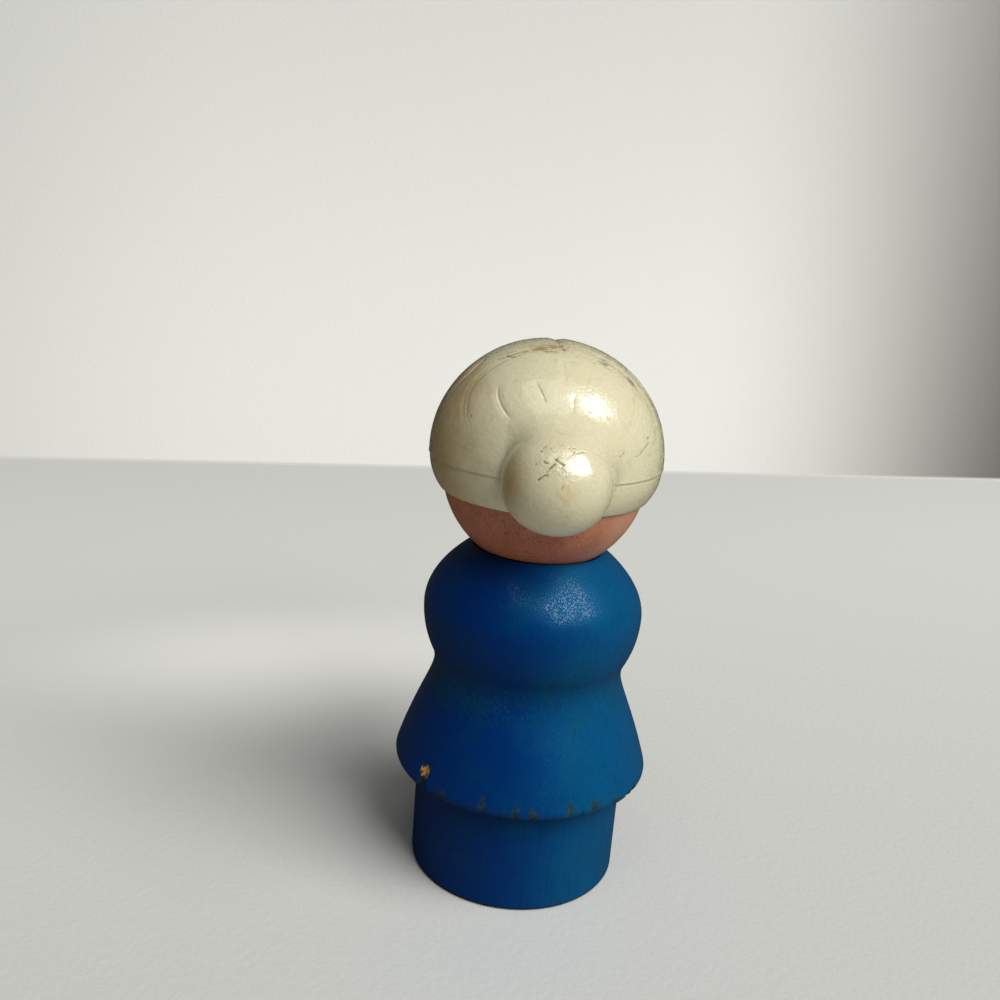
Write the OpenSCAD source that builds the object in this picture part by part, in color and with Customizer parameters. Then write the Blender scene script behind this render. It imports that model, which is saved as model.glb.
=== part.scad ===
// Peg doll: a turned wooden body with a flared hem, a turned ball head that turns
// on a nail, and a moulded hair cap with a bun at the back.
// Millimetres, +Z up, origin at the centre of the flat base, face towards -Y.

/* [Base peg] */
// Radius of the straight base that drops into a round seat
base_r = 11; // [10.5:0.05:12]
// Height of the straight base
base_h = 11.2; // [9:0.1:14]
// Radius of the rounded edge under the base
foot_round = 0.5; // [0.2:0.05:1]

/* [Skirt and chest] */
// How far the hem stands out from the base
hem_out = 2.35; // [1.8:0.05:3]
// Radius of the hem's round edge
hem_round = 0.85; // [0.5:0.05:1.2]
// Rise of the underside from the base to the hem
hem_lift = 0.3; // [0.1:0.05:0.8]
// Lean of the skirt just above the hem, in degrees
hem_lean = 17; // [8:1:22]
// Height from the hem's underside to the waist
skirt_h = 11.05; // [9:0.05:14]
// How much smaller the waist's radius is than the chest's
waist_in = 1.45; // [0.8:0.05:2.2]
// Radius of the chest
chest_r = 11.3; // [10.8:0.05:12.5]
// Height from the waist to the chest
chest_h = 6.2; // [5:0.05:8]
// Height from the chest to the lip of the head's seat
shoulder_h = 6.7; // [5:0.05:8]
// Radius of the lip of the head's seat
neck_r = 6.7; // [5.5:0.05:7.5]

/* [Head] */
// Radius of the ball head
head_r = 10.3; // [9.5:0.05:11]
// Gap between the ball and its seat
seat_gap = 0.15; // [0.1:0.01:0.3]

/* [Neck nail] */
// Diameter of the nail's shank
nail_d = 2.8; // [2:0.1:3.4]
// Diameter of the nail's flat head
nail_head_d = 6.4; // [5:0.1:7]
// Thickness of the nail's head
nail_head_t = 0.9; // [0.6:0.05:1.4]
// Depth of the shank in the body, without its point
nail_grip = 12; // [8:0.5:16]
// Length of the nail's point
nail_point = 1.8; // [1:0.1:3]
// Depth of the nail's head under the rim of its counterbore
nail_sink = 0.3; // [0.1:0.05:0.8]
// Radial clearance of the shank in the ball
turn_fit = 0.06; // [0.03:0.01:0.1]
// Clearance round the nail's head and past its point
nail_clear = 0.2; // [0.1:0.05:0.4]

/* [Hair cap] */
// Clearance between the ball and the cap
cap_fit = 0.05; // [0.02:0.01:0.1]
// Wall of the cap at its widest, over the ball's radius
cap_wall = 1.35; // [1:0.05:2]
// Height of the cap's own centre above the ball's centre
cap_rise = 1.58; // [1:0.02:2]
// Depth of the rim below the ball's centre
rim_drop = 2.3; // [1.5:0.05:3]
// Wall of the cap at the rim
rim_wall = 0.3; // [0.2:0.05:0.6]
// Depth of the mould line below the cap's centre
seam_drop = 0.45; // [0.2:0.05:0.8]
// Step in of the cap below the mould line
seam_step = 0.08; // [0.04:0.01:0.15]

/* [Face opening] */
// Width of the opening between the side locks
face_w = 19.2; // [17:0.1:19.8]
// Radius of each arc of the hairline
brow_r = 5.9; // [5.2:0.1:6.6]
// Depth of the hairline arcs' centres below the ball's centre
brow_drop = 0.5; // [0:0.1:1.5]

/* [Bun] */
// Width of the bun
bun_w = 10.4; // [8:0.1:12]
// Height of the bun
bun_h = 9.6; // [8:0.1:11]
// Depth of the bun's centre inside the cap's outer surface
bun_sink = 0.85; // [0:0.05:2]
// Depth of the bun's centre below the cap's centre
bun_drop = 0.4; // [0:0.05:1]
// Diameter of the mark where the plastic entered the mould
gate_d = 1.2; // [0.8:0.1:2]
// Height of that mark
gate_h = 0.1; // [0.05:0.01:0.2]

/* [Combed strands] */
// Radius of the round groove between two strands
strand_r = 0.4; // [0.3:0.05:0.8]
// Depth of a strand groove at its middle
strand_depth = 0.25; // [0.2:0.05:0.5]
// Depth of the parting at the crown
parting_depth = 0.35; // [0.2:0.05:0.6]

/* [Painted face] */
// Thickness of the paint of the eyes and the mouth
paint_t = 0.08; // [0.05:0.01:0.15]
// Distance between the middles of the eyes
eye_gap = 6.4; // [5:0.1:8]
// Width of an eye
eye_w = 1.3; // [0.8:0.1:1.8]
// Height of an eye
eye_h = 2; // [1.9:0.1:2.8]
// Height of the eyes above the ball's centre
eye_rise = 1.1; // [0:0.1:2.5]
// Radius of the smile
smile_r = 3.4; // [2.5:0.1:4.5]
// Width of the smile's line
smile_line = 0.5; // [0.3:0.05:0.8]
// Half of the angle that the smile spans, in degrees
smile_half = 42; // [25:1:60]
// Depth of the smile's centre below the ball's centre
smile_drop = 0.5; // [0:0.1:1.5]

/* [Hidden] */
$fn = 128;

// Pieces of an outline's curve, and overrun of a cut past the surface it leaves
curve_steps = 12;
overrun = 1;

// Heights of the body, from the base up
hem_z = base_h + hem_lift;
waist_z = hem_z + skirt_h;
chest_z = waist_z + chest_h;
neck_z = chest_z + shoulder_h;
hem_r = base_r + hem_out;
waist_r = chest_r - waist_in;

// The ball stands over the lip of its seat, and the seat follows the ball
seat_r = head_r + seat_gap;
head_z = neck_z + sqrt(seat_r * seat_r - neck_r * neck_r);
seat_edge_angle = -acos(neck_r / seat_r);

// Shares of the skirt's height that its curve runs straight from the hem and into the waist
hem_pull_share = 0.58;
waist_pull_share = 0.19;
// Share of the bend from waist to chest that belongs to the hollow waist
waist_bend_share = 0.25;

// The nail hangs by its head in a counterbore on top of the ball
shank_r = nail_d / 2;
counterbore_r = nail_head_d / 2 + nail_clear;
nail_top_z = head_z + sqrt(head_r * head_r - counterbore_r * counterbore_r) - nail_sink;
nail_under_z = nail_top_z - nail_head_t;
counterbore_z = nail_under_z - seat_gap;
seat_bottom_z = head_z - seat_r;
nail_point_z = seat_bottom_z - nail_grip;

// The cap is a ball over the ball, with a band that turns in below the mould line
hollow_r = head_r + cap_fit;
cap_r = hollow_r + cap_wall;
cap_z = head_z + cap_rise;
seam_z = cap_z - seam_drop;
seam_r = sqrt(cap_r * cap_r - seam_drop * seam_drop);
rim_z = head_z - rim_drop;
rim_r = sqrt(hollow_r * hollow_r - rim_drop * rim_drop) + rim_wall;
bun_y = cap_r - bun_sink;
bun_z = cap_z - bun_drop;

// Each strand groove: directions of its start, middle and end from the cap's centre,
// as [degrees round from the back, degrees up]
side_strands = [
    [[30, 74], [57, 40], [38, 9]],
    [[46, 32], [36, 26], [25, 22]],
    [[104, 62], [94, 38], [100, 12]],
    [[128, 60], [118, 42], [122, 24]]
];
back_strands = [
    [[-17, 47], [-12.6, 40], [-9, 33]],
    [[5, 40], [5, 32], [5, 23]]
];
parting_strand = [[0, 52], [0, 90], [180, 4]];

function arc(centre, radius, from, to) = [
    for (i = [0:curve_steps])
        let (a = from + (to - from) * i / curve_steps)
        centre + radius * [cos(a), sin(a)]
];

function bezier(a, b, c, d) = [
    for (i = [0:curve_steps])
        let (t = i / curve_steps, s = 1 - t)
        s * s * s * a + 3 * s * s * t * b + 3 * s * t * t * c + t * t * t * d
];

// From the hem's round edge up the side of the skirt to the waist
function skirt_curve() =
    let (
        start = [hem_r - hem_round, hem_z + hem_round] + hem_round * [cos(hem_lean), sin(hem_lean)],
        end = [waist_r, waist_z],
        rise = end.y - start.y
    )
    bezier(
        start,
        start + hem_pull_share * rise * [-tan(hem_lean), 1],
        end - [0, waist_pull_share * rise],
        end
    );

// Two arcs that meet smoothly: the hollow of the waist and the swell of the chest
function chest_curve() =
    let (
        both_r = (chest_h * chest_h + waist_in * waist_in) / (2 * waist_in),
        hollow = waist_bend_share * both_r,
        swell = both_r - hollow,
        turn = asin(chest_h / both_r)
    )
    concat(
        arc([waist_r + hollow, waist_z], hollow, 180, 180 - turn),
        arc([chest_r - swell, chest_z], swell, -turn, 0)
    );

// The shoulder falls in towards the lip, ever faster
function shoulder_curve() = [
    for (i = [1:curve_steps])
        let (t = i / curve_steps)
        [chest_r - (chest_r - neck_r) * t * t, chest_z + shoulder_h * t]
];

function body_outline() = concat(
    [[0, 0]],
    arc([base_r - foot_round, foot_round], foot_round, -90, 0),
    [[base_r, base_h]],
    arc([hem_r - hem_round, hem_z + hem_round], hem_round, -90, hem_lean),
    skirt_curve(),
    chest_curve(),
    shoulder_curve(),
    arc([0, head_z], seat_r, seat_edge_angle, -90)
);

// The cap's outer half section, solid to the axis
function cap_outline() =
    let (
        band_h = seam_z - rim_z,
        band_in = seam_r - seam_step - rim_r,
        band_r = (band_h * band_h + band_in * band_in) / (2 * band_in)
    )
    concat(
        [[0, rim_z]],
        arc([rim_r + band_in - band_r, seam_z], band_r, -asin(band_h / band_r), 0),
        arc([0, cap_z], cap_r, -asin(seam_drop / cap_r), 90)
    );

// Two arcs of the hairline, seen from the front, with the opening for the face below them
function opening_outline() =
    let (
        half = face_w / 2,
        arc_x = half - brow_r,
        peak = acos(-arc_x / brow_r)
    )
    concat(
        [[half, -rim_drop - overrun]],
        arc([arc_x, -brow_drop], brow_r, 0, peak),
        arc([-arc_x, -brow_drop], brow_r, 180 - peak, 180),
        [[-half, -rim_drop - overrun]]
    );

// The smile's line is a band of a ring with round ends
function smile_outline() =
    let (half_line = smile_line / 2, from = -90 - smile_half, to = -90 + smile_half)
    concat(
        arc([0, 0], smile_r + half_line, from, to),
        arc(smile_r * [cos(to), sin(to)], half_line, to, to + 180),
        arc([0, 0], smile_r - half_line, to, from),
        arc(smile_r * [cos(from), sin(from)], half_line, from + 180, from + 360)
    );

// A direction from the cap's centre, with 0 degrees round at the back
function direction(d) = [-sin(d.x) * cos(d.y), cos(d.x) * cos(d.y), sin(d.y)];

function mirrored(strand) = [for (d = strand) [-d.x, d.y]];

// A round groove along a circle on the cap. The circle passes through the strand's
// three directions and is drawn a little larger and deeper, so that it sinks in at
// the middle and comes out at both ends.
module strand_groove(strand, depth) {
    start = cap_r * direction(strand[0]);
    middle = cap_r * direction(strand[1]);
    end = cap_r * direction(strand[2]);
    across = cross(end - start, middle - start);
    normal = across / norm(across);
    plane_centre = (start * normal) * normal;
    plane_r = norm(start - plane_centre);
    chord_middle = (start + end) / 2 - plane_centre;
    bow = middle - start - ((middle - start) * (end - start)) / ((end - start) * (end - start)) * (end - start);
    outward = bow / norm(bow);
    reach = chord_middle * outward;
    // The larger circle meets the cap at the strand's two ends
    half_chord = norm(end - start) / 2;
    height = plane_r - depth - reach;
    groove_r = (half_chord * half_chord + height * height) / (2 * height);
    groove_centre = plane_centre + (plane_r - depth - groove_r) * outward;
    translate([0, 0, cap_z])
        translate(groove_centre)
            rotate([0, acos(normal.z), atan2(normal.y, normal.x)])
                rotate_extrude()
                    translate([groove_r, 0])
                        circle(r = strand_r, $fn = 32);
}

// Everything that lies in the painted skin of the ball
module paint_skin() {
    difference() {
        sphere(r = head_r + paint_t);
        sphere(r = head_r);
    }
}

// Pushes a flat shape, drawn as seen from the front, through the face
module onto_face() {
    translate([0, 0, head_z])
        intersection() {
            paint_skin();
            rotate([90, 0, 0])
                linear_extrude(height = head_r + overrun)
                    children();
        }
}

module body() {
    color([0.05, 0.28, 0.55])
        difference() {
            rotate_extrude()
                polygon(body_outline());
            translate([0, 0, nail_point_z])
                cylinder(r = shank_r, h = nail_grip + overrun);
            translate([0, 0, nail_point_z - nail_point - nail_clear])
                cylinder(r1 = 0, r2 = shank_r, h = nail_point + nail_clear);
        }
}

module neck_nail() {
    color([0.72, 0.72, 0.7])
        union() {
            translate([0, 0, nail_under_z])
                cylinder(d = nail_head_d, h = nail_head_t);
            translate([0, 0, nail_point_z])
                cylinder(r = shank_r, h = nail_under_z - nail_point_z);
            translate([0, 0, nail_point_z - nail_point])
                cylinder(r1 = 0, r2 = shank_r, h = nail_point);
        }
}

module head() {
    color([0.8, 0.5, 0.38])
        difference() {
            translate([0, 0, head_z])
                sphere(r = head_r);
            translate([0, 0, head_z - head_r - overrun])
                cylinder(r = shank_r + turn_fit, h = 2 * head_r + overrun);
            translate([0, 0, counterbore_z])
                cylinder(r = counterbore_r, h = head_r);
        }
}

// Cuts the opening for the face through the front of the cap
module face_opening() {
    translate([0, 0, head_z])
        rotate([90, 0, 0])
            linear_extrude(height = cap_r + overrun)
                polygon(opening_outline());
}

// A ball stretched sideways to its width: its half section is a circle moved out
module bun() {
    translate([0, bun_y, bun_z])
        rotate_extrude()
            intersection() {
                translate([(bun_w - bun_h) / 2, 0])
                    circle(d = bun_h);
                translate([0, -bun_h / 2])
                    square([bun_w / 2, bun_h]);
            }
}

// The low round mark on the bun's tip where the plastic entered the mould
module gate_mark() {
    translate([0, bun_y + bun_w / 2, bun_z])
        rotate([90, 0, 0])
            translate([0, 0, -gate_h])
                cylinder(d = gate_d, h = gate_d);
}

// The cap before it is hollowed, with its combed strands
module combed_cap() {
    difference() {
        rotate_extrude()
            polygon(cap_outline());
        for (strand = side_strands) {
            strand_groove(strand, strand_depth);
            strand_groove(mirrored(strand), strand_depth);
        }
        for (strand = back_strands)
            strand_groove(strand, strand_depth);
        strand_groove(parting_strand, parting_depth);
    }
}

module hair() {
    color([0.86, 0.82, 0.68])
        difference() {
            union() {
                combed_cap();
                bun();
                gate_mark();
            }
            translate([0, 0, head_z])
                sphere(r = hollow_r);
            face_opening();
        }
}

module eyes() {
    color([0.08, 0.07, 0.07])
        onto_face()
            for (side = [-1, 1])
                translate([side * eye_gap / 2, eye_rise])
                    union() {
                        for (end = [-1, 1])
                            translate([0, end * (eye_h - eye_w) / 2])
                                circle(d = eye_w);
                        square([eye_w, eye_h - eye_w], center = true);
                    }
}

// The smile, painted on the ball
module mouth() {
    color([0.5, 0.12, 0.1])
        onto_face()
            translate([0, -smile_drop])
                polygon(smile_outline());
}

body();
neck_nail();
head();
hair();
eyes();
mouth();
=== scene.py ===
"""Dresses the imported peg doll: turned and painted wood, a moulded hair cap, and its stage."""
from itertools import product
from math import atan2, cos, degrees, pi, radians, sin, sqrt, tan

import bpy
import numpy as np
from bpy.props import FloatProperty, FloatVectorProperty, PointerProperty
from mathutils import Matrix, Vector


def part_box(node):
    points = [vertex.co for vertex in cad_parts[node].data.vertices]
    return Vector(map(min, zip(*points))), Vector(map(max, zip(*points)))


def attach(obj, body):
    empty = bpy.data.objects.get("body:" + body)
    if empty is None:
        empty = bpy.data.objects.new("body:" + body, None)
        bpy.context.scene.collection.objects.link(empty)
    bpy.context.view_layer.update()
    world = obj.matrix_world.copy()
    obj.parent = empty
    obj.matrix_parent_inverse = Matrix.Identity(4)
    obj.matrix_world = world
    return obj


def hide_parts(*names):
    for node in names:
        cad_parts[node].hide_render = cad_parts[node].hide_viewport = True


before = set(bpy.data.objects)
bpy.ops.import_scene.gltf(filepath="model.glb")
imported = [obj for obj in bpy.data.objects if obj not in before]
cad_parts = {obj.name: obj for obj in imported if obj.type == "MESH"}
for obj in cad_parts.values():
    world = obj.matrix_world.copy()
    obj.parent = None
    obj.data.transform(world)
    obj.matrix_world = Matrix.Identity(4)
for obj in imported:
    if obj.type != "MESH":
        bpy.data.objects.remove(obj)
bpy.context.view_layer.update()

bl_info = {
    "name": "Peg Doll",
    "version": (1, 0, 0),
    "blender": (4, 5, 0),
    "location": "3D View > Sidebar > Peg Doll",
    "description": "Dresses a turned peg doll and sets its stage",
    "category": "Object",
}

MM = 0.001


def packed_box(node):
    """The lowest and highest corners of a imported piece, in millimetres."""
    return [np.array(corner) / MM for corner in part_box(node)]


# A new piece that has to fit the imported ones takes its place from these.
HEAD_LOW, _ = packed_box("head")
HAIR_LOW, HAIR_HIGH = packed_box("hair")
NAIL_LOW, NAIL_HIGH = packed_box("neck_nail")


def length(name, value, about):
    """A length that a user can change, kept in millimetres."""
    return FloatProperty(name=name, default=value, description=about + ", in millimetres", min=0.0)


def turn(name, value, about):
    """An angle that a user can change."""
    return FloatProperty(name=name, default=radians(value), description=about, subtype="ANGLE")


def amount(name, value, about):
    """A plain number that a user can change."""
    return FloatProperty(name=name, default=value, description=about, min=0.0)


def tint(name, value, about):
    """A colour that a user can change."""
    return FloatVectorProperty(
        name=name, default=value, description=about, subtype="COLOR", size=3, min=0.0, max=1.0
    )


class BodySizes(bpy.types.PropertyGroup):
    """Sizes of the turned body."""

    base_r: length("Base radius", 11.0, "Radius of the straight base")
    base_h: length("Base height", 11.2, "Height of the straight base")
    foot_round: length("Foot round", 0.5, "Radius of the edge under the base")
    hem_out: length("Hem out", 2.35, "How far the hem stands out from the base")
    hem_round: length("Hem round", 0.85, "Radius of the hem's edge")
    hem_lift: length("Hem lift", 0.3, "Rise of the hem's underside")
    hem_lean: turn("Hem lean", 17.0, "Lean of the skirt above the hem")
    skirt_h: length("Skirt height", 11.05, "Height from the hem to the waist")
    waist_in: length("Waist in", 1.45, "How much smaller the waist is than the chest")
    chest_r: length("Chest radius", 11.3, "Radius of the chest")
    chest_h: length("Chest height", 6.2, "Height from the waist to the chest")
    neck_r: length("Neck radius", 6.7, "Radius of the lip of the head's seat")
    seat_gap: length("Seat gap", 0.15, "Gap between the ball and its seat")


class HeadSizes(bpy.types.PropertyGroup):
    """Sizes of the ball head and of what is painted on it."""

    radius: length("Ball radius", 10.3, "Radius of the ball head")
    bore_r: length("Bore radius", 1.46, "Radius of the hole for the nail")
    bore_gap: length("Bore gap", 0.06, "Gap between the nail and the hole in the head")
    counterbore_r: length("Counterbore radius", 3.4, "Radius of the seat of the nail's head")
    paint_t: length("Paint thickness", 0.07, "Thickness of the eyes and the mouth")
    eye_gap: length("Eye gap", 6.4, "Distance between the eyes")
    eye_w: length("Eye width", 1.3, "Width of an eye")
    eye_h: length("Eye height", 2.0, "Height of an eye")
    eye_rise: length("Eye rise", 1.1, "Height of the eyes above the ball's centre")
    smile_r: length("Smile radius", 3.4, "Radius of the smile")
    smile_line: length("Smile line", 0.5, "Width of the smile's line")
    smile_half: turn("Smile half", 42.0, "Half of the angle of the smile")
    smile_drop: length("Smile drop", 0.5, "Depth of the smile's centre below the ball's")


class HairSizes(bpy.types.PropertyGroup):
    """Sizes of the moulded hair cap."""

    cap_fit: length("Cap fit", 0.05, "Clearance between the ball and the cap")
    cap_wall: length("Cap wall", 1.35, "Wall of the cap at its widest")
    cap_rise: length("Cap rise", 1.58, "Height of the cap's centre above the ball's")
    rim_drop: length("Rim drop", 2.3, "Depth of the rim below the ball's centre")
    rim_wall: length("Rim wall", 0.3, "Wall of the cap at its rim")
    seam_drop: length("Seam drop", 0.45, "Depth of the mould line below the cap's centre")
    seam_step: length("Seam step", 0.08, "Step in below the mould line")
    face_w: length("Face width", 19.2, "Width of the opening for the face")
    brow_r: length("Brow radius", 5.9, "Radius of each arc of the hairline")
    brow_drop: length("Brow drop", 0.5, "Depth of the hairline arcs' centres")
    bun_w: length("Bun width", 10.4, "Width of the bun")
    bun_h: length("Bun height", 9.6, "Height of the bun")
    bun_sink: length("Bun sink", 0.85, "Depth of the bun's centre inside the cap's surface")
    bun_drop: length("Bun drop", 0.4, "Depth of the bun's centre below the cap's")
    crown: amount("Crown", 0.967, "Share of a ball's height at the crown")
    grain: length("Mesh step", 0.115, "Size of a face of the hair's mesh")


class Finishes(bpy.types.PropertyGroup):
    """Colours of the doll and of its stage."""

    # Painted light: a lighter blue for the body's lit side and a darker blue for its shaded side
    blue: tint("Blue paint", (0.0, 0.066, 0.178), "Paint of the body where it has faded")
    shaded_side_blue: tint("Fresh paint", (0.0, 0.022, 0.138), "Paint of the body where it is fresh")
    navy: tint("Deep paint", (0.0, 0.02, 0.09), "Paint that has sunk into the grain")
    teal: tint("Grimy paint", (0.002, 0.05, 0.08), "Paint under old grime")
    dust: tint("Dust", (0.03, 0.2, 0.25), "Pale specks in the pores of the blue paint")
    bare_wood: tint("Bare wood", (0.5, 0.26, 0.06), "Wood where the paint has chipped off")
    old_wood: tint("Grey wood", (0.012, 0.028, 0.014), "Wood worn bare long ago")
    wood_fleck: tint("Wood fleck", (0.05, 0.06, 0.012), "Flecks in the wood worn bare long ago")
    skin: tint("Skin paint", (0.51, 0.18, 0.09), "Paint of the head")
    skin_deep: tint("Deep skin", (0.28, 0.06, 0.022), "Skin paint in the grain")
    # Painted light: the paler skin on the lit side of the head
    lit_skin: tint("Pale skin", (0.62, 0.33, 0.2), "Skin paint that has been rubbed")
    blush: tint("Cheek", (0.5, 0.08, 0.06), "Round cheeks")
    cream: tint("Hair", (0.67, 0.63, 0.43), "Plastic of the hair")
    # Brown for painted shade on the cap's left side and the bun's left flank, and for the dirt at the crown
    shade_and_dirt_brown: tint("Browned hair", (0.43, 0.28, 0.1), "Plastic that has browned on one side")
    yellowed: tint("Yellowed hair", (0.6, 0.51, 0.29), "Plastic that has yellowed")
    ochre: tint("Ochre stain", (0.6, 0.42, 0.12), "The stain round the moulding mark on the bun")
    grime: tint("Grime", (0.09, 0.055, 0.02), "Dirt in scratches and grooves")
    eye: tint("Eye", (0.012, 0.011, 0.01), "Paint of the eyes")
    mouth: tint("Mouth", (0.3, 0.02, 0.015), "Paint of the mouth")
    steel: tint("Nail", (0.55, 0.54, 0.52), "Steel of the nail")
    rust: tint("Rust", (0.16, 0.07, 0.03), "Rust on the nail")
    room: tint("Floor", (0.7, 0.71, 0.69), "Paper on the floor")
    wall: tint("Wall", (0.93, 0.94, 0.91), "The wall behind")
    dim: tint("Dim paper", (0.55, 0.56, 0.55), "Floor and wall where less light comes")
    # Painted shade at the wall's dark end on the right
    corner: tint("Dark corner", (0.07, 0.065, 0.055), "The wall's dark end on the right")


class StageSettings(bpy.types.PropertyGroup):
    """Where the camera stands, and the lamps."""

    camera_round: turn("Camera round", 6.46, "How far round from straight behind the camera is")
    camera_out: length("Camera distance", 98.06, "Distance of the camera from the axis")
    camera_up: length("Camera height", 65.44, "Height of the camera")
    camera_pitch: turn("Pitch", 14.704, "How far the camera looks down")
    camera_yaw: turn("Yaw", 2.477, "How far the camera looks aside")
    camera_roll: turn("Roll", 4.52, "How far the camera is tipped")
    key_round: turn("Key round", 46.0, "Direction of the key lamp, round from the back")
    key_up: turn("Key up", 45.0, "Height of the key lamp as an angle")
    key_power: amount("Key power", 33.0, "Power of the key lamp in watts")
    sky_round: turn("Sky round", 0.0, "Direction of the weaker lamp, round from the back")
    sky_up: turn("Sky up", 70.0, "Height of the weaker lamp as an angle")
    sky_power: amount("Sky power", 5.5, "Power of the weaker lamp in watts")
    lamp_out: length("Lamp distance", 1600.0, "Distance of the lamps")
    lamp_wide: length("Lamp width", 1350.0, "Width of the lamps")
    lamp_high: length("Lamp height", 1050.0, "Height of the lamps")
    fill: amount("Fill", 0.02, "Strength of the even light")
    wall_round: turn("Wall round", 10.24, "How far the wall is turned round the doll")
    wall_out: length("Wall distance", 182.4, "Distance of the wall from the doll's axis")


class PegDollSettings(bpy.types.PropertyGroup):
    """The doll's values in groups."""

    body: PointerProperty(type=BodySizes)
    head: PointerProperty(type=HeadSizes)
    hair: PointerProperty(type=HairSizes)
    finish: PointerProperty(type=Finishes)
    stage: PointerProperty(type=StageSettings)


def settings():
    """All the values that a user can change."""
    return bpy.context.scene.peg_doll


def ball_height():
    """Height of the ball's centre, from the ball's radius and its lowest edge at the bore."""
    head = settings().head
    return HEAD_LOW[2] + sqrt(head.radius**2 - head.bore_r**2)


def hem_and_waist():
    """Radius and height of the hem's underside, and the waist's height."""
    size = settings().body
    hem_z = size.base_h + size.hem_lift
    return size.base_r + size.hem_out, hem_z, hem_z + size.skirt_h


def cap_and_bun():
    """The cap's radius, its centre and the bun's centre."""
    size = settings().hair
    cap_r = settings().head.radius + size.cap_fit + size.cap_wall
    cap = np.array([0.0, 0.0, ball_height() + size.cap_rise])
    return cap_r, cap, cap + (0.0, cap_r - size.bun_sink, -size.bun_drop)


# Outlines and meshes


def arc(centre, radius, start, end, steps=24):
    """Points of an arc in a flat section, angles in degrees."""
    turns = np.radians(np.linspace(start, end, steps + 1))
    return np.column_stack((centre[0] + radius * np.cos(turns), centre[1] + radius * np.sin(turns)))


def bezier(a, b, c, d, steps=32):
    """Points of a cubic curve between a and d."""
    t = np.linspace(0.0, 1.0, steps + 1)[:, None]
    s = 1.0 - t
    return s**3 * np.array(a) + 3 * s * s * t * np.array(b) + 3 * s * t * t * np.array(c) + t**3 * np.array(d)


def resampled(outline, step):
    """The same outline with points a step apart, so that small dents can be modelled."""
    gaps = np.hypot(*np.diff(outline, axis=0).T)
    apart = gaps > 1e-9
    outline = outline[np.append(True, apart)]
    along = np.append(0.0, np.cumsum(gaps[apart]))
    count = max(2, int(round(along[-1] / step)))
    places = np.linspace(0.0, along[-1], count + 1)
    return np.column_stack([np.interp(places, along, column) for column in outline.T])


class Noise:
    """Smooth seeded noise between -1 and 1 on a lattice that repeats."""

    def __init__(self, seed, cells=32):
        self.cells = cells
        self.table = np.random.RandomState(seed).uniform(-1.0, 1.0, (cells,) * 3)

    def __call__(self, points, size):
        """Noise at the points, with lumps of about the given size."""
        places = points / size
        whole = np.floor(places).astype(int)
        part = places - whole
        part = part * part * (3.0 - 2.0 * part)
        share = (1.0 - part, part)
        cell = (whole % self.cells, (whole + 1) % self.cells)
        total = np.zeros(len(points))
        for a, b, c in product((0, 1), repeat=3):
            weight = share[a][:, 0] * share[b][:, 1] * share[c][:, 2]
            total += weight * self.table[cell[a][:, 0], cell[b][:, 1], cell[c][:, 2]]
        return total


def add_piece(name, points, faces, body, node, finish):
    """Makes a smooth-shaded piece of millimetre points that stands for a CAD node."""
    mesh = bpy.data.meshes.new(name)
    mesh.from_pydata((np.asarray(points) * MM).tolist(), [], [list(face) for face in faces])
    mesh.validate()
    mesh.polygons.foreach_set("use_smooth", [True] * len(mesh.polygons))
    mesh.update()
    piece = bpy.data.objects.new(name, mesh)
    bpy.context.scene.collection.objects.link(piece)
    mesh.materials.append(finish)
    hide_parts(node)
    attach(piece, body)
    return piece


def lathe(outline, segments):
    """Points, faces and outward normals of an outline turned round the axis."""
    turns = np.linspace(0.0, 2 * pi, segments, endpoint=False)
    around = np.column_stack((np.cos(turns), np.sin(turns)))
    slope = np.gradient(outline, axis=0)
    slope /= np.maximum(np.hypot(*slope.T), 1e-9)[:, None]
    rings, points, normals = [], [], []
    for (r, z), (dr, dz) in zip(outline, slope):
        first = sum(len(block) for block in points)
        if r < 1e-6:
            rings.append([first] * segments)
            points.append([[0.0, 0.0, z]])
            normals.append([[0.0, 0.0, -1.0 if dr > 0 else 1.0]])
        else:
            rings.append(range(first, first + segments))
            points.append(np.column_stack((r * around, np.full(segments, z))))
            normals.append(np.column_stack((dz * around, np.full(segments, -dr))))
    faces = []
    for lower, upper in zip(rings, rings[1:]):
        for i in range(segments):
            j = (i + 1) % segments
            faces.append(list(dict.fromkeys((lower[i], lower[j], upper[j], upper[i]))))
    return np.vstack(points), faces, np.vstack(normals)


def bump_shape(share):
    """A round dent's depth, from 1 in the middle to 0 where share is 1."""
    return np.clip(1.0 - share * share, 0.0, None) ** 2


def on_body(round_deg, height, radius):
    """A place on the body, round from the right-hand side."""
    return np.array([radius * cos(radians(round_deg)), radius * sin(radians(round_deg)), height])


# The turned body

# Nicks along the hem: degrees round, height above the hem's underside, half width, half height, depth
HEM_NICKS = [
    (50.0, 0.6, 0.5, 0.6, 0.08),
    (69.5, 0.7, 0.45, 0.9, 0.1),
    (77.0, 0.5, 0.3, 0.6, 0.08),
    (84.0, 0.6, 0.35, 0.8, 0.1),
    (91.5, 0.6, 0.5, 0.8, 0.12),
    (107.5, 0.8, 0.42, 0.9, 0.16),
    (113.5, 0.6, 0.16, 0.8, 0.3),
    (119.5, 0.8, 0.6, 0.7, 0.12),
    (132.0, 0.5, 0.5, 0.6, 0.1),
    (142.0, 0.4, 0.5, 0.6, 0.3),
    (147.0, 0.6, 0.5, 0.5, 0.22),
    (200.0, 0.5, 0.6, 0.7, 0.12),
    (236.0, 0.6, 0.4, 0.8, 0.12),
    (281.0, 0.5, 0.6, 0.7, 0.14),
    (318.0, 0.5, 0.5, 0.8, 0.1),
    (350.0, 0.6, 0.4, 0.6, 0.1),
]
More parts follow.
